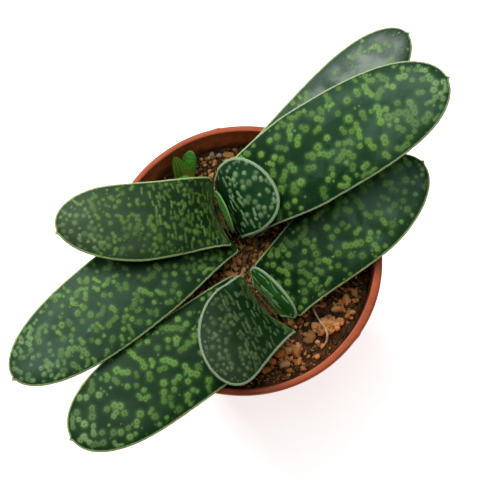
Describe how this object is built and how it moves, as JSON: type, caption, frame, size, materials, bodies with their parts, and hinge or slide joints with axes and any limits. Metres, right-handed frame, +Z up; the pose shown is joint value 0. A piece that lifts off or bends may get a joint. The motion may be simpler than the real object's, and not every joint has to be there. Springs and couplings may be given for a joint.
{
  "type": "gasteria in a nursery pot",
  "caption": "Small gasteria plants with spotted tongue-shaped leaves in two ranks, growing in soil in a round tapered nursery pot that stands on its flat base.",
  "frame": {"origin": "on the plane that the pot stands on, under the pot's axis", "axes": "+Z up along the pot's axis, +X to the right of the reference view and +Y away from its viewer"},
  "size_m": [0.1634, 0.1611, 0.1185],
  "materials": {
    "pot_plastic": "terracotta-coloured moulded plastic, softly shiny on the rim, duller and darker inside",
    "peat_mix": "damp brown peat mix with pale and orange granules, matt",
    "leaf_skin": "dark green waxy skin with pale green ringed spots in short bars, and a pale margin",
    "young_leaf_skin": "bright green waxy skin with a pale margin",
    "stem_tissue": "pale fibrous stem",
    "baked_clay": "porous orange baked clay, matt",
    "dry_root": "pale dry root, matt"
  },
  "bodies": {
    "root": {"pot": "pot_plastic", "soil": "peat_mix", "first_plant_stem": "stem_tissue", "first_plant_leaf_left_upper": "leaf_skin", "first_plant_leaf_left_lower": "leaf_skin", "first_plant_leaf_right_inner": "leaf_skin", "first_plant_leaf_right_upper": "leaf_skin", "first_plant_leaf_right_lower": "leaf_skin", "first_plant_leaf_centre": "young_leaf_skin", "second_plant_stem": "stem_tissue", "second_plant_leaf_left_inner": "leaf_skin", "second_plant_leaf_left_lower": "leaf_skin", "second_plant_leaf_right_inner": "young_leaf_skin", "second_plant_leaf_right_lower": "leaf_skin", "offset": "young_leaf_skin", "clay_lumps": "baked_clay", "root_fibre": "dry_root"}
  },
  "joints": []
}
